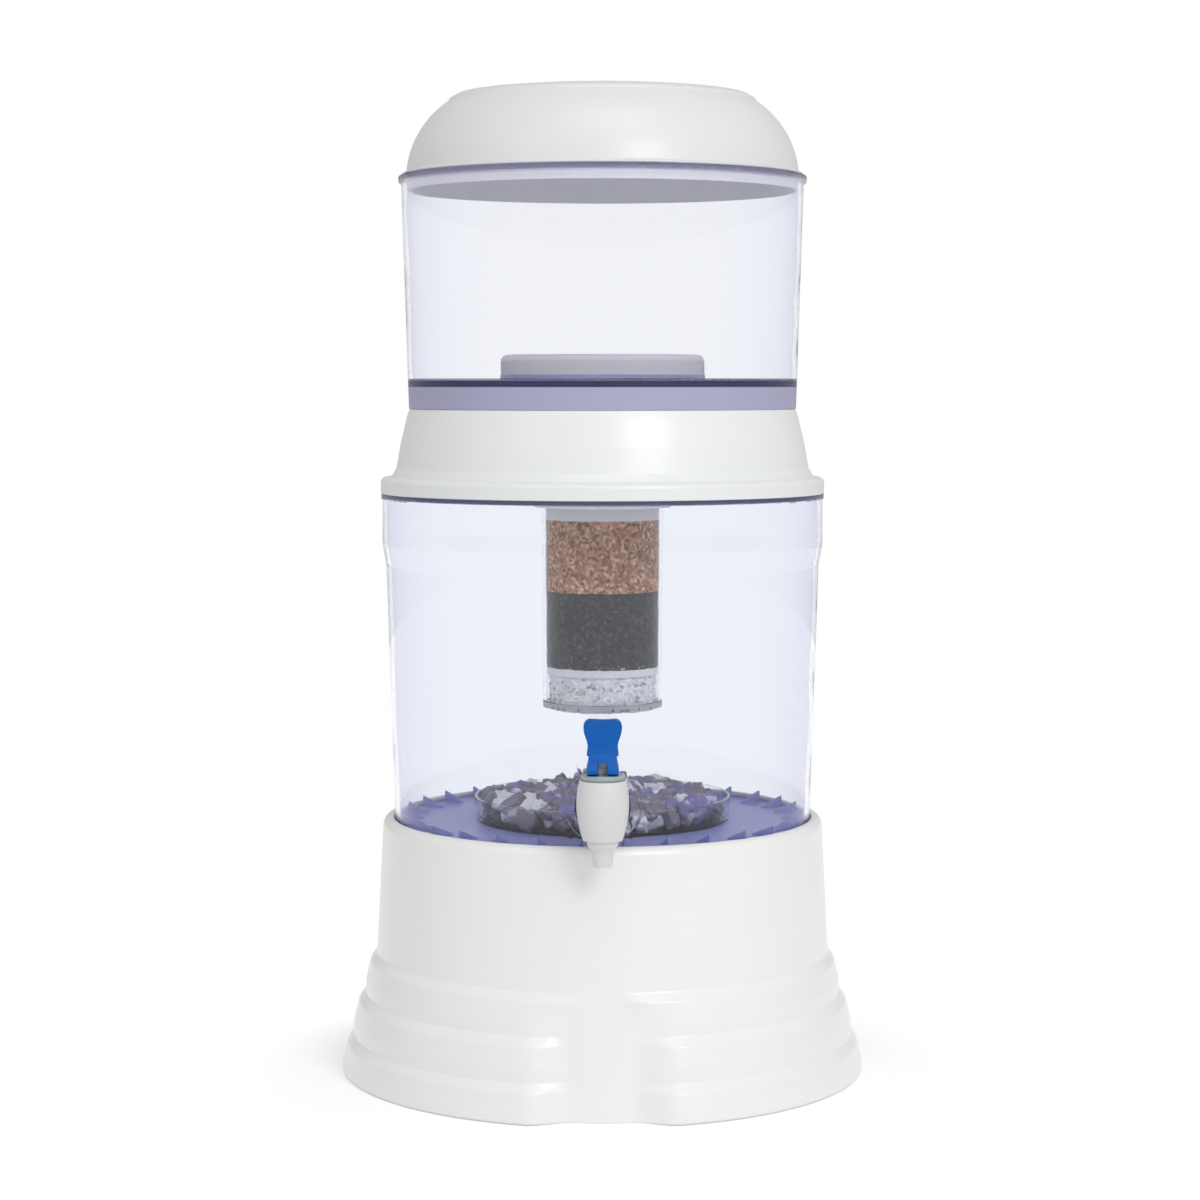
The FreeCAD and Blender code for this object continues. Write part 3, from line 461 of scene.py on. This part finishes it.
def draw_outline(name, corners):
    """Closed outline of (x, z) or (x, z, radius) corners in millimetres, at y = 0."""
    start_piece()
    places = [Vector((corner[0], 0, corner[1])) * mm for corner in corners]
    bpy.ops.mesh.primitive_plane_add(size=mm)
    piece = bpy.context.object
    piece.name = name
    bpy.ops.object.mode_set(mode="EDIT")
    bpy.ops.mesh.select_mode(type="VERT")
    bpy.ops.mesh.select_all(action="SELECT")
    bpy.ops.mesh.merge(type="CENTER")
    bpy.ops.transform.translate(value=places[0])
    for here, there in zip(places, places[1:]):
        bpy.ops.mesh.extrude_vertices_move(TRANSFORM_OT_translate={"value": there - here})
    ends = (places[0], places[-1])
    select_points(piece, lambda co: min((co - end).length for end in ends) < 1e-6)
    bpy.ops.mesh.edge_face_add()
    count = len(places)
    for i, corner in enumerate(corners):
        if len(corner) == 2:
            continue
        before = (places[i - 1] - places[i]).normalized()
        after = (places[(i + 1) % count] - places[i]).normalized()
        half_angle = before.angle(after) / 2
        reach = corner[2] * mm / math.tan(half_angle)
        steps = max(2, round((math.pi - 2 * half_angle) / math.radians(12)))
        select_points(piece, lambda co: (co - places[i]).length < 1e-6)
        bpy.ops.mesh.bevel(affect="VERTICES", offset=reach, segments=steps, profile=0.5)
    return piece


def even_normals(piece):
    """Lets the large faces set the shading, so that flat walls don't bend the light."""
    weighted = piece.modifiers.new("even_normals", "WEIGHTED_NORMAL")
    weighted.keep_sharp = True
    weighted.weight = 80
    bpy.context.view_layer.objects.active = piece
    bpy.ops.object.modifier_apply(modifier=weighted.name)


def finish_mesh(piece, smooth_angle=35):
    """Merges doubles, turns faces outwards and smooths what bends gently."""
    bpy.ops.object.mode_set(mode="EDIT")
    bpy.ops.mesh.select_all(action="SELECT")
    bpy.ops.mesh.remove_doubles(threshold=1e-6)
    bpy.ops.mesh.normals_make_consistent(inside=False)
    bpy.ops.object.mode_set(mode="OBJECT")
    bpy.ops.object.shade_smooth_by_angle(angle=math.radians(smooth_angle))
    even_normals(piece)
    print(piece.name, "faces", len(piece.data.polygons))


def spin_outline(name, corners, steps):
    """A turned piece: the outline goes once round the tanks' axis."""
    piece = draw_outline(name, corners)
    bpy.ops.mesh.select_all(action="SELECT")
    bpy.ops.mesh.spin(steps=steps, angle=math.tau, center=(0, 0, 0), axis=(0, 0, 1))
    finish_mesh(piece)
    return piece


def dress(piece, body, finish, *replaced):
    """Gives a piece its finish, puts it on its body, and hides the nodes it stands for."""
    piece.data.materials.clear()
    piece.data.materials.append(finish.material)
    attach(piece, body)
    if replaced:
        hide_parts(*replaced)


print("outline helpers ready")

# %% [markdown]
# The stand is a drum on three rounded steps. Under the tap the steps sink into a smooth bay, so
# that a glass can stand closer, and their ends roll round into it. We spin the stepped outline, walls
# and all, and then press the bay in: near the front, each point moves from the stepped radius towards
# the radius of the bay's flaring wall, with a soft change in between.

# %% Stand
stand_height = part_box("base_stand")[1].z / mm
rim_radius, drum_radius, foot_radius = 121.6, 125.6, 144.8
bay_foot_radius = 134.0
bay_half_width, bay_top_half_width, bay_softness = 29.0, 10.0, 12.0
bay_shoulder_low, bay_shoulder_high = 49.0, 69.0
bay_top = bay_shoulder_high + 6
wall = 3.0
nest_radius = 115.8
nest_floor = stand_height - 10.5
drain_radius = 8


def smoothstep(low, high, value):
    share = min(1.0, max(0.0, (value - low) / (high - low)))
    return share * share * (3 - 2 * share)


outer_line = [
    (rim_radius, stand_height), (drum_radius, 66.0), (129.2, 61.2), (131.8, 50.0), (131.8, 43.5),
    (135.8, 38.7), (138.6, 27.5), (138.6, 20.5), (142.2, 15.7), (foot_radius, 4.5), (foot_radius, 0)]
rounding = [5.0, 3.0, 3.0, 8.0, 1.4, 3.0, 8.0, 1.4, 3.0, 8.0, 1.6]
stand = spin_outline("stand_moulding", [
    (nest_radius, nest_floor), (nest_radius, stand_height - 1.0, 1.0),
    *[(radius, z, curve) for (radius, z), curve in zip(outer_line, rounding)],
    (foot_radius - wall, 0), (foot_radius - wall, 4.5, 6.0), (142.2 - wall, 15.7 - 1, 2.0),
    (138.6 - wall, 19.0), (138.6 - wall, 27.5, 6.0), (135.8 - wall, 37.7, 2.0), (131.8 - wall, 42.0),
    (131.8 - wall, 50.0, 6.0), (129.2 - wall, 60.2, 2.0), (drum_radius - wall, 64.5),
    (rim_radius - wall, stand_height - 12, 4.0), (nest_radius + 2, nest_floor - wall - 1),
    (drain_radius, nest_floor - wall - 1), (drain_radius, nest_floor)], steps=288)


def stepped_radius(z):
    """Outer radius of the stepped outline at a height."""
    for (high_radius, high), (low_radius, low) in zip(outer_line, outer_line[1:]):
        if z >= low:
            return low_radius + (high_radius - low_radius) * (min(z, high) - low) / (high - low)
    return foot_radius


def press_bay(piece):
    """Moves the front of the steps back to the bay's wall."""
    for vertex in piece.data.vertices:
        x, y, z = (v / mm for v in vertex.co)
        radius = math.hypot(x, y)
        if y > 0 or radius < nest_radius + 1 or z > bay_top:
            continue
        inner = radius < stepped_radius(z) - 0.6 * wall
        narrowing = smoothstep(bay_shoulder_low, bay_shoulder_high, z)
        half_width = bay_half_width + (bay_top_half_width - bay_half_width) * narrowing
        mask = 1 - smoothstep(half_width - bay_softness, half_width + bay_softness, abs(x))
        flare = max(0.0, 1 - z / bay_top)
        bay_radius = drum_radius - 0.5 + (bay_foot_radius - drum_radius) * flare ** 1.6
        target = min(radius, bay_radius - (wall if inner else 0))
        share = (radius + (target - radius) * mask) / radius
        vertex.co.x *= share
        vertex.co.y *= share


press_bay(stand)
dress(stand, "stand", white_plastic, "base_stand")
print("stand height", round(stand_height, 1))

# %% [markdown]
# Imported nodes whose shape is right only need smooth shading. Their meshes are loose triangles, so a
# merged copy stands for each, and a light smoothing by angle keeps the crisp edges.

# %% Smooth copies
def smooth_copy(node, name, finish, smooth_angle=30):
    """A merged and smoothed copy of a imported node, on the node's own body."""
    start_piece()
    piece = nodes[node].copy()
    piece.data = nodes[node].data.copy()
    piece.name = name
    bpy.context.scene.collection.objects.link(piece)
    for key in list(piece.keys()):
        del piece[key]
    piece.parent = None
    piece.select_set(True)
    bpy.context.view_layer.objects.active = piece
    bpy.ops.object.mode_set(mode="EDIT")
    bpy.ops.mesh.select_all(action="SELECT")
    bpy.ops.mesh.remove_doubles(threshold=1e-6)
    bpy.ops.object.mode_set(mode="OBJECT")
    bpy.ops.object.shade_smooth_by_angle(angle=math.radians(smooth_angle))
    even_normals(piece)
    dress(piece, body_of[node], finish, node)


for node, name, finish in (
        ("lower_tank", "lower_tank_clear", clear_lower),
        ("lower_tank_gussets", "floor_gussets", clear_gusset),
        ("upper_tank", "upper_tank_clear", clear_upper),
        ("mineral_tray", "tray_clear", clear_shell),
        ("cartridge_shell", "cartridge_tube", clear_shell),
        ("lid", "lid_dome", lid_plastic),
        ("tap_body", "tap_barrel", tap_plastic),
        ("tap_bonnet", "tap_cap", bonnet_plastic),
        ("cartridge_cap", "cartridge_neck", cartridge_white),
        ("cartridge_base", "cartridge_foot", grey_plastic),
        ("prefilter_ceramic", "prefilter_disc", ceramic),
        ("prefilter_base", "prefilter_dish", prefilter_plate)):
    smooth_copy(node, name, finish)
print("smooth copies made")

# %% [markdown]
# The collar between the tanks is one white moulding with a rolled flange at its foot, a dish in its
# top and a socket for the cartridge. It is turned like the stand. A low lip on its deck locates the
# upper tank. The tongue at its foot reaches only a little way into the lower tank, so that the clear
# plastic begins right under the flange.

# %% Collar
lip_height = 3.0
collar_foot, collar_lip_top = lower_rim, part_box("separator")[1].z / mm
deck = collar_lip_top - lip_height
flange_top = collar_foot + 9.5
dish_floor = collar_foot + 13.0
dish_underside = dish_floor - 3
deck_radius, waist_radius, flange_radius = 106.4, 113.6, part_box("separator")[1].x / mm
lip_outer, lip_inner = 100.2, 98.6
mouth_radius, mouth_wall, tongue = 118.3, 2.2, 2.4
neck_radius, neck_ledge, neck_wall = 29.3, 3.4, 3.6
shell_wall = 2.6
collar = spin_outline("collar", [
    (flange_radius, collar_foot, 0.8), (flange_radius, flange_top - 1, 2.6),
    (waist_radius + 2.6, flange_top, 1.0), (waist_radius, flange_top + 4.5, 3.0),
    (waist_radius - 2.4, deck - 19, 30.0), (deck_radius + 1.2, deck - 4, 4.0), (deck_radius - 0.2, deck, 0.8),
    (lip_outer, deck), (lip_outer, deck + lip_height, 0.6), (lip_inner, deck + lip_height, 0.6),
    (95.0, deck - 3, 2.0), (92.0, dish_floor, 4.0), (neck_radius - neck_ledge, dish_floor - 0.8),
    (neck_radius - neck_ledge, dish_underside), (neck_radius, dish_underside), (neck_radius, collar_foot),
    (neck_radius + neck_wall, collar_foot), (neck_radius + neck_wall, dish_underside),
    (95.6, dish_underside), (97.6, deck - 5.6), (deck_radius - shell_wall, deck - 5.6),
    (waist_radius - 5.0, deck - 19), (waist_radius - shell_wall, flange_top),
    (mouth_radius - mouth_wall, collar_foot + 4), (mouth_radius - mouth_wall, collar_foot - tongue),
    (mouth_radius, collar_foot - tongue), (mouth_radius, collar_foot)], steps=200)
dress(collar, "separator", collar_plastic, "separator")
print("collar from", round(collar_foot, 1), "to", round(deck, 1))

# %% [markdown]
# The stones are copies of lumpy pebbles, one pebble for each of three shades. An icosphere is
# pushed in and out by noise in code, as a sculptor would, and each copy gets its own scale and
# turn. The three shades lie mixed in the tray.

# %% Stones
random.seed(7)


def pebble(radius, seed):
    """One rough stone about the origin."""
    start_piece()
    bpy.ops.mesh.primitive_ico_sphere_add(subdivisions=3, radius=radius)
    stone = bpy.context.object
    for vertex in stone.data.vertices:
        direction = vertex.co.normalized()
        push = noise.noise(direction * 1.7 + Vector((seed, 0, 0)))
        vertex.co += direction * radius * 0.38 * push
    return stone


def scatter(name, pattern, places):
    """Copies of a pattern mesh at (place, turn, scale), joined into one piece."""
    copies = []
    for place, turn, scale in places:
        mesh = pattern.data.copy()
        mesh.transform(Matrix.LocRotScale(place, turn, scale))
        copy = bpy.data.objects.new(name, mesh)
        bpy.context.scene.collection.objects.link(copy)
        copies.append(copy)
    start_piece()
    for copy in copies:
        copy.select_set(True)
    bpy.context.view_layer.objects.active = copies[0]
    bpy.ops.object.join()
    joined = bpy.context.object
    joined.name = name
    print(name, "copies", len(copies), "faces", len(joined.data.polygons))
    return joined


def any_turn():
    """A random turn about a random axis."""
    return Matrix.Rotation(random.uniform(0, math.tau), 3, Vector((
        random.uniform(-1, 1), random.uniform(-1, 1), random.uniform(-1, 1))).normalized()).to_quaternion()


tray_low, tray_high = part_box("mineral_tray")
stone_floor = tray_low.z / mm + 1.5
stone_size = 6.2
column_step, row_step, layer_step = 11.0, 9.8, 5.4
jitter = 1.6
stone_places = []
for layer in range(2):
    for row in range(-7, 8):
        for column in range(-7, 8):
            x = column_step * (column + 0.5 * (row % 2)) + random.uniform(-jitter, jitter) + 4 * layer
            y = row_step * row + random.uniform(-jitter, jitter) + 5 * layer
            if math.hypot(x, y) > tray_high.x / mm - 7.6:
                continue
            z = stone_floor + 4.6 + layer_step * layer + random.uniform(-0.6, 0.6)
            scale = Vector((random.uniform(0.8, 1.05), random.uniform(0.8, 1.05), random.uniform(0.6, 0.8)))
            stone_places.append((Vector((x, y, z)) * mm, any_turn(), scale))
random.shuffle(stone_places)
shares = {
    "stones_dark": (stone_dark, 0.0, 0.6),
    "stones_violet": (stone_violet, 0.6, 0.84),
    "stones_pale": (stone_pale, 0.84, 1.0)}
for number, (name, (finish, start, end)) in enumerate(shares.items()):
    pattern = pebble(stone_size * mm, 3.1 * number)
    chosen = stone_places[int(start * len(stone_places)):int(end * len(stone_places))]
    stones = scatter(name, pattern, chosen)
    bpy.data.objects.remove(pattern)
    bpy.ops.object.shade_smooth_by_angle(angle=math.radians(40))
    dress(stones, "tray", finish, "mineral_stones")

# %% [markdown]
# Inside the cartridge lie a fibre pad, brown grains, black carbon, a white divider and
# white chips. Each layer is a cylinder whose side is cut into closely spaced rows, and a Displace
# modifier with a cell texture raises the grains on it.

# %% Layers of the cartridge
def grain_plug(node, name, finish, grain, relief, inset=0.6):
    """A layer of the cartridge, inset a little from its packed radius. Lengths in millimetres."""
    low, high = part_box(node)
    radius = high.x / mm - inset
    rows = max(2, round((high.z - low.z) / mm / 0.8))
    start_piece()
    bpy.ops.mesh.primitive_cylinder_add(
        vertices=240, radius=radius * mm, depth=high.z - low.z, location=(0, 0, (low.z + high.z) / 2))
    piece = bpy.context.object
    piece.name = name
    bpy.ops.object.transform_apply(location=True, rotation=False, scale=False)
    bpy.ops.object.mode_set(mode="EDIT")
    bpy.ops.mesh.select_all(action="DESELECT")
    bpy.ops.mesh.select_mode(type="EDGE")
    bpy.ops.object.mode_set(mode="OBJECT")
    for edge in piece.data.edges:
        a, b = (piece.data.vertices[i].co for i in edge.vertices)
        edge.select = abs(a.z - b.z) > 1e-6
    bpy.ops.object.mode_set(mode="EDIT")
    bpy.ops.mesh.subdivide(number_cuts=rows, quadcorner="INNERVERT")
    bpy.ops.object.mode_set(mode="OBJECT")
    texture = bpy.data.textures.new(name + "_grain", "VORONOI")
    texture.noise_scale = grain * mm
    push = piece.modifiers.new("grains", "DISPLACE")
    push.texture = texture
    push.texture_coords = "LOCAL"
    push.strength = -relief * mm
    push.mid_level = 0.5
    bpy.ops.object.modifier_apply(modifier=push.name)
    bpy.ops.object.shade_smooth_by_angle(angle=math.radians(50))
    dress(piece, "cartridge", finish, node)
    print(name, "faces", len(piece.data.polygons))


grain_plug("cartridge_top_pad", "pad_of_fibre", filter_pad, 2.0, 0.3)
grain_plug("cartridge_grains", "layer_of_grains", brown_grains, 1.8, 0.9)
grain_plug("cartridge_carbon", "layer_of_carbon", black_carbon, 1.5, 0.9)
grain_plug("cartridge_divider", "divider_disc", filter_pad, 2.0, 0.2)
grain_plug("cartridge_mineral_chips", "layer_of_chips", white_chips, 3.2, 1.2, inset=2.6)

# %% [markdown]
# The chips at the foot of the cartridge are large enough to be seen one by one. A flat chip of a
# few faces is copied all round the plug, each copy with its own size and turn, in white and in
# grey. Only those against the tube show, so the plug behind them fills the rest.

# %% Chips
chip_radius = 1.9
chip_low, chip_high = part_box("cartridge_mineral_chips")
start_piece()
bpy.ops.mesh.primitive_ico_sphere_add(subdivisions=1, radius=chip_radius * mm)
chip_pattern = bpy.context.object
for vertex in chip_pattern.data.vertices:
    vertex.co.x *= random.uniform(0.8, 1.2)
    vertex.co.y *= random.uniform(0.6, 1.1)
    vertex.co.z *= 0.6
for name, finish, count in (("chips_white", chip_white, 420), ("chips_grey", chip_grey, 110)):
    places = []
    for _ in range(count):
        angle = random.uniform(0, math.tau)
        height = random.uniform(0.03, 0.93)
        radius = chip_high.x - (2.2 + random.uniform(0, 1.2)) * mm
        z = chip_low.z + 4.6 * mm + (chip_high.z - chip_low.z - 6.4 * mm) * height
        size = random.uniform(0.6, 1.0)
        spot = Vector((radius * math.cos(angle), radius * math.sin(angle), z))
        places.append((spot, any_turn(), Vector((size, size, size))))
    dress(scatter(name, chip_pattern, places), "cartridge", finish, "cartridge_mineral_chips")
bpy.data.objects.remove(chip_pattern)

# %% [markdown]
# The lever is a flared thumb piece on a forked foot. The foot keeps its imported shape, cam and all, cut
# off above the pin by a bisect. The thumb piece is drawn from the front and extruded, bisected into
# rows, and then its thickness follows the height: thick at the pin, slim at the waist, and wide again
# at the top. A bevel modifier rolls its edges.

# %% Lever
pin_low, pin_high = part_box("tap_lever_pin")
pin_z = (pin_low.z + pin_high.z) / 2 / mm
tap_y = (pin_low.y + pin_high.y) / 2 / mm
lever_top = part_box("tap_lever")[1].z / mm
cut_z = pin_z + 5.2
thumb_depth = 10
thumb_rows = 14
smooth_copy("tap_lever", "lever_foot", blue_plastic, 25)
bpy.ops.object.mode_set(mode="EDIT")
bpy.ops.mesh.select_all(action="SELECT")
bpy.ops.mesh.bisect(plane_co=(0, 0, cut_z * mm), plane_no=(0, 0, 1), clear_outer=True, use_fill=True)
bpy.ops.object.mode_set(mode="OBJECT")
waist_z = pin_z + 9.4
front = [(8.1, cut_z - 0.6), (8.0, cut_z + 1.4, 3.0), (7.2, waist_z, 8.0), (9.5, lever_top - 7.0, 6.0),
         (9.9, lever_top - 3.6, 4.0), (8.6, lever_top, 3.0), (0, lever_top - 0.5, 12.0)]
thumb = draw_outline("lever_thumb", front + [(-corner[0], *corner[1:]) for corner in reversed(front[:-1])])
bpy.ops.mesh.select_all(action="SELECT")
bpy.ops.mesh.edge_face_add()
bpy.ops.mesh.extrude_region_move(TRANSFORM_OT_translate={"value": (0, thumb_depth * mm, 0)})
for step in range(1, thumb_rows):
    row_z = cut_z + (lever_top - cut_z) * step / thumb_rows
    bpy.ops.mesh.select_all(action="SELECT")
    bpy.ops.mesh.bisect(plane_co=(0, 0, row_z * mm), plane_no=(0, 0, 1))
finish_mesh(thumb, 40)
side_rows = [
    (cut_z - 0.6, -5.6, 4.7), (pin_z + 8.0, -4.7, 4.0), (pin_z + 12.0, -4.3, 3.2),
    (lever_top - 6, -4.6, 2.6), (lever_top - 2, -5.3, 2.0), (lever_top, -5.2, 1.4)]
for vertex in thumb.data.vertices:
    z = vertex.co.z / mm
    for (low, low_front, low_back), (high, high_front, high_back) in zip(side_rows, side_rows[1:]):
        if z <= high or high == lever_top:
            share = smoothstep(low, high, z)
            face = (low_front + (high_front - low_front) * share, low_back + (high_back - low_back) * share)
            break
    vertex.co.y = (tap_y + face[0 if vertex.co.y < thumb_depth / 2 * mm else 1]) * mm
roll = thumb.modifiers.new("rolled_edges", "BEVEL")
roll.width = 1.3 * mm
roll.segments = 4
roll.limit_method = "ANGLE"
roll.angle_limit = math.radians(50)
start_piece()
bpy.context.view_layer.objects.active = thumb
thumb.select_set(True)
bpy.ops.object.modifier_apply(modifier=roll.name)
bpy.ops.object.shade_smooth_by_angle(angle=math.radians(40))
dress(thumb, "tap_lever", blue_plastic, "tap_lever")
print("lever thumb faces", len(thumb.data.polygons))

# %% [markdown]
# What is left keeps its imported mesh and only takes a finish: washers, nut, stem, spring and
# the seals. Each slot of the record has one.

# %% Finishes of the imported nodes
slot_finish = {
    "white_plastic": white_plastic, "clear_tank": clear_lower, "clear_tray": clear_shell,
    "clear_shell": clear_shell, "mineral_stone": stone_dark, "tap_plastic": tap_plastic,
    "tap_stem_plastic": tap_plastic, "silicone": silicone, "spring_steel": spring_steel,
    "dark_rubber": dark_rubber, "blue_plastic": blue_plastic, "cartridge_white": cartridge_white,
    "filter_pad": filter_pad, "brown_grains": brown_grains, "black_carbon": black_carbon,
    "white_chips": white_chips, "grey_plastic": grey_plastic, "prefilter_plate": prefilter_plate,
    "ceramic": ceramic}
for node, packed in nodes.items():
    packed.data.materials.clear()
    packed.data.materials.append(slot_finish[slot_of[node]].material)
print("finishes on", len(nodes), "nodes")

# %% Finish
start_piece()
